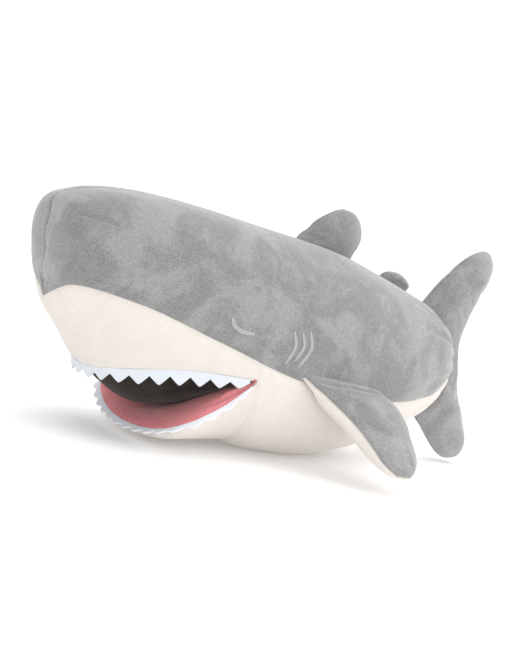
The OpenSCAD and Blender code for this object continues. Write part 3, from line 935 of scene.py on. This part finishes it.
side_ribs = flat_ribs([(-8, 2, 98, 0), (-4, 2, 100, 0.45), (8, 8, 104, 0.75), (20, 16, 111, 0.95),
                       (40, 31, 111, 1), (60, 42, 107, 0.95), (78, 49, 102, 0.82), (90, 56, 94, 0.6),
                       (96, 64, 86, 0.3), (98, 68, 82, 0)])


def above(plane, height):
    """A test that a point, in metres, is within height millimetres of the fin's root line."""
    return lambda p: (p / MM - plane[0]) @ plane[2] < height


side_top, side_under = pillow_grids(side_plane, side_ribs, 16, 60, 44, roll=7, other_half=11, push=8)
pillow = pillow_mesh("side_fin_pillow", side_top, side_under)
swell(pillow, above(side_plane, 4), side_plane)
sink_seam(pillow, 1.2)
for start, end, lift, depth, width in (((48, 72), (60, 66), -10, 2.2, 2.2),
                                       ((68, 88), (84, 85), -8, 1.5, 2.0),
                                       ((20, 14), (60, 12), -10, 1.2, 4.0)):
    tuck(pillow, side_plane, start, end, lift, depth, width)
side_faces = faces_of_pillow(pillow, ("side_fin_left_lower", "side_fin_left_upper"), (CREAM, GREY))


def mirrored_copy(piece, name):
    """The same piece for the right side of the toy."""
    mesh = piece.data.copy()
    set_coordinates(mesh, coordinates(mesh) * mirror)
    mesh.flip_normals()
    return link(name, mesh)


right_faces = [mirrored_copy(piece, piece.name.replace("left", "right")) for piece in side_faces]
print("side fins:", [p.name for p in side_faces + right_faces])

# %% [markdown]
# ## The fins on the back
# Two small upright pillows, both faces grey. Each leans back by a few degrees, and its root runs
# under the back panels, where it is sewn into the middle seam.

# %% Back fins
def upright(s, z, fall):
    """A plane in the middle of the toy that falls backwards by an angle in degrees."""
    f = math.radians(fall)
    return (np.array([0, front_y + s, z]), np.array([0, math.cos(f), -math.sin(f)]),
            np.array([0, math.sin(f), math.cos(f)]))


back_plane = upright(243, 200, 9.9)
back_ribs = flat_ribs([(-7, -8, 60, 0), (-4, -6, 60, 0.6), (5, -2, 61, 0.85), (12, 3, 63, 0.95),
                       (22, 9, 63, 1), (32, 19, 58, 0.85), (38, 27, 52, 0.62), (41, 33, 46, 0.3),
                       (42, 36, 43, 0)])
rear_plane = upright(340, 178, 19)
rear_ribs = flat_ribs([(-6, -1, 35, 0), (-4, 0, 36, 0.6), (3, 2, 37, 0.85), (7, 5, 37, 1),
                       (10, 10, 33, 0.85), (12.4, 16, 27, 0.4), (13, 19, 24, 0)])


def upright_fin(name, plane, ribs, half, rows, cols):
    pillow = pillow_mesh(name + "_pillow", *pillow_grids(plane, ribs, half, rows, cols, roll=-2))
    swell(pillow, above(plane, 2), plane, cap=0.003)
    sink_seam(pillow, 1.0)
    return faces_of_pillow(pillow, (name + "_right", name + "_left"), (GREY, GREY))


back_fin = upright_fin("back_fin", back_plane, back_ribs, 12, 36, 36)
rear_fin = upright_fin("rear_fin", rear_plane, rear_ribs, 9, 24, 26)
print("upright fins:", [p.name for p in back_fin + rear_fin])

# %% [markdown]
# ## The tail fin
# One tall pillow with an upper and a lower lobe. It is sewn to the end of the body at the narrow stem
# between them, where the cloth is pulled into creases.

# %% Tail fin
tail_plane = (np.array([0, front_y, 0]), np.array([0, 1.0, 0]), np.array([0, 0, 1.0]))
tail_ribs = [(465, 222.5, 469, 221.5, 0), (460, 221, 473, 216.5, 0.35), (450, 217.5, 477, 206, 0.7),
             (437, 208, 475, 191, 0.92), (420, 190, 468, 172, 1), (402, 164, 461, 153, 1),
             (394, 149, 459, 144, 0.92), (412, 134, 457, 134, 0.8), (432, 124, 456, 124, 0.7),
             (440, 105, 459, 107, 0.66), (437, 83, 465, 89, 0.7), (424, 57, 471, 71, 0.88),
             (418, 46, 479, 55, 1), (431, 33, 486, 39, 1), (446, 18, 492, 23, 0.92),
             (458, 8, 490, 11, 0.7), (469, 3, 484, 4.5, 0.3), (474, 2.5, 480, 3, 0)]
tail_pillow = pillow_mesh("tail_pillow", *pillow_grids(tail_plane, tail_ribs, 13, 96, 36, roll=-4))
swell(tail_pillow, lambda p: 92 < p[2] / MM < 150 or p[1] / MM - front_y < 410, tail_plane,
      shrink=0.03)
sink_seam(tail_pillow, 1.2)
for start, end in (((452, 150), (436, 168)), ((455, 112), (432, 96)), ((457, 118), (440, 84))):
    tuck(tail_pillow, tail_plane, start, end, 11, 1.6, 2.6)
tail_faces = faces_of_pillow(tail_pillow, ("tail_fin_left", "tail_fin_right"), (GREY, GREY))
print("tail fin:", [p.name for p in tail_faces])

# %% [markdown]
# ## Satin stitches
# The sleeping eyes and the gills are machine embroidery: threads laid side by side across a line.
# Geometry Nodes repeats one short thread along a path. The path carries the cloth's own direction and
# the thread's size in attributes, so each thread lies flat on it. The result becomes a plain mesh.

# %% The stitch tree
def stitch_tree():
    """A node group that lays threads across a path, in the sizes that its points carry."""
    tree = bpy.data.node_groups.new("satin_stitch", "GeometryNodeTree")
    for label, way, kind in (("Path", "INPUT", "Geometry"), ("Pitch", "INPUT", "Float"),
                             ("Material", "INPUT", "Material"), ("Stitches", "OUTPUT", "Geometry")):
        tree.interface.new_socket(label, in_out=way, socket_type="NodeSocket" + kind)
    inputs = node(tree, "NodeGroupInput").outputs
    curve = node(tree, "GeometryNodeMeshToCurve", {"Mesh": inputs["Path"]})
    even_curve = node(tree, "GeometryNodeResampleCurve", {"Curve": curve.outputs[0],
                                                          "Length": inputs["Pitch"]}, mode="LENGTH")
    out, size = (node(tree, "GeometryNodeInputNamedAttribute", {"Name": name}, data_type="FLOAT_VECTOR")
                 for name in ("cloth_out", "thread_size"))
    tangent = node(tree, "GeometryNodeInputTangent")
    flat = node(tree, "FunctionNodeAlignRotationToVector", {"Vector": out.outputs[0]}, axis="Z")
    turned = node(tree, "FunctionNodeAlignRotationToVector",
                  {"Rotation": flat.outputs[0], "Vector": tangent.outputs[0]}, axis="X", pivot_axis="Z")
    thread = node(tree, "GeometryNodeMeshUVSphere", {"Segments": 8, "Rings": 5, "Radius": 0.5})
    placed = node(tree, "GeometryNodeInstanceOnPoints",
                  {"Points": even_curve.outputs[0], "Instance": thread.outputs["Mesh"],
                   "Rotation": turned.outputs[0], "Scale": size.outputs[0]})
    real = node(tree, "GeometryNodeRealizeInstances", {0: placed.outputs[0]})
    smooth = node(tree, "GeometryNodeSetShadeSmooth", {0: real.outputs[0]})
    dressed = node(tree, "GeometryNodeSetMaterial", {0: smooth.outputs[0], "Material": inputs["Material"]})
    node(tree, "NodeGroupOutput", {0: dressed.outputs[0]})
    return tree


STITCHES = stitch_tree()
back_surface = BVHTree.FromObject(back_left, bpy.context.evaluated_depsgraph_get())


def on_cloth(points):
    """The nearest places on the left back panel, and the directions out of the cloth there."""
    found = [back_surface.ray_cast(Vector((0.2, y * MM, z * MM)), Vector((-1, 0, 0)))
             for _, y, z in points]
    return np.array([f[0] for f in found]), np.array([f[1] for f in found])


def satin(name, lines, sides):
    """One embroidered piece from (line of points, stitch width, thread thickness), in metres; sides
    is (-1, 1, 1) on the right of the toy."""
    points, outs, sizes, edges = [], [], [], []
    for line, width, thread in lines:
        place, out = on_cloth(line)
        first = len(points)
        points += list((place + 0.0002 * out) * sides)
        outs += list(out * sides)
        sizes += [(thread, width, thread)] * len(line)
        edges += [(first + k, first + k + 1) for k in range(len(line) - 1)]
    mesh = bpy.data.meshes.new(name + "_path")
    mesh.from_pydata([tuple(p) for p in points], edges, [])
    for carried, values in (("cloth_out", outs), ("thread_size", sizes)):
        attribute = mesh.attributes.new(carried, "FLOAT_VECTOR", "POINT")
        attribute.data.foreach_set("vector", np.array(values, np.float32).ravel())
    path = link(name + "_path", mesh)
    modifier = path.modifiers.new("stitches", "NODES")
    modifier.node_group = STITCHES
    for socket in STITCHES.interface.items_tree:
        if socket.name in ("Pitch", "Material"):
            modifier[socket.identifier] = 0.00045 if socket.name == "Pitch" else THREAD
    made = bpy.data.meshes.new_from_object(path.evaluated_get(bpy.context.evaluated_depsgraph_get()))
    bpy.data.objects.remove(path)
    return link(name, made)


def beside(path, gap):
    """A line beside a path on the flank, at a distance that fades out at both ends."""
    line = side_path(path, 40)
    turn = unit(np.gradient(line, axis=0))
    sideways = np.stack([np.zeros(40), -turn[:, 2], turn[:, 1]], -1)
    return line + gap * (1 - np.abs(np.linspace(-1, 1, 40)) ** 5)[:, None] * sideways


pieces = {}
for side_name, sides in (("left", np.ones(3)), ("right", mirror)):
    for part, paths, wide in (("eye_", [eye_path], 0.0030), ("gills_", gill_paths, 0.0022)):
        lines = [(beside(path, gap * wide / MM), 0.001, 0.0011) for path in paths for gap in (-0.5, 0.5)]
        lines += [(side_path(path, 40), wide, 0.0007) for path in paths]
        pieces[part + side_name] = satin(part + "stitches_" + side_name, lines, sides)
print("stitches:", {k: len(p.data.polygons) for k, p in pieces.items()})

# %% [markdown]
# ## Put the cloth in the CAD parts' place
# The body's cloth rides on the body. The jaw's cloth, its lining and its teeth, and the faces of every
# fin, stay where they were made. Each piece hides the CAD parts that it stands for.

# %% Ride and replace
def stands(nodes):
    """Hides the CAD nodes that a piece stands for."""
    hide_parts(*nodes)


for piece, slot, nodes, fill in (
        (back_left, "grey_pile", ("back_panel_left", "body_stuffing"), 0.85),
        (back_right, "grey_pile", ("back_panel_right",), 0.85),
        (snout, "cream_pile", ("snout_panel",), 0.85),
        (belly, "cream_pile", ("belly_panel",), 0.85),
        (palate, "black_lining", ("palate_lining",), None),
        (upper_teeth, "white_felt", ("upper_teeth",), None),
        *((p, "silver_thread", (name,), None) for name, p in pieces.items())):
    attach(piece, "body")
    stands(nodes)

for piece, slot, nodes, fill in (
        (jaw, "cream_pile", ("jaw_panel", "jaw_stuffing"), 0.7),
        (floor, "pink_lining", ("mouth_floor",), 0.7),
        (lower_teeth, "white_felt", ("lower_teeth",), None)):
    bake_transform(piece)
    stands(nodes)


def bend_fin(faces, nodes, slots=("grey_pile", "grey_pile")):
    """Both faces of a fin stay where they were made, and the CAD nodes they stand for are hidden."""
    for piece, node_names, slot in zip(faces, nodes, slots):
        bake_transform(piece)
        stands(node_names)


right_plane = tuple(v * mirror for v in side_plane)
for faces, body, plane in ((side_faces, "side_fin_left", side_plane),
                           (right_faces, "side_fin_right", right_plane)):
    bend_fin(faces,
             ((body + "_under", body + "_stuffing"), (body + "_top",)), ("cream_pile", "grey_pile"))
for faces, body, plane, high in ((back_fin, "back_fin", back_plane, 16),
                                 (rear_fin, "rear_fin", rear_plane, 12)):
    bend_fin(faces,
             ((body + "_panel_right", body + "_stuffing"), (body + "_panel_left",)))
bend_fin(tail_faces,
         (("tail_fin_panel_left", "tail_fin_stuffing"), ("tail_fin_panel_right",)))
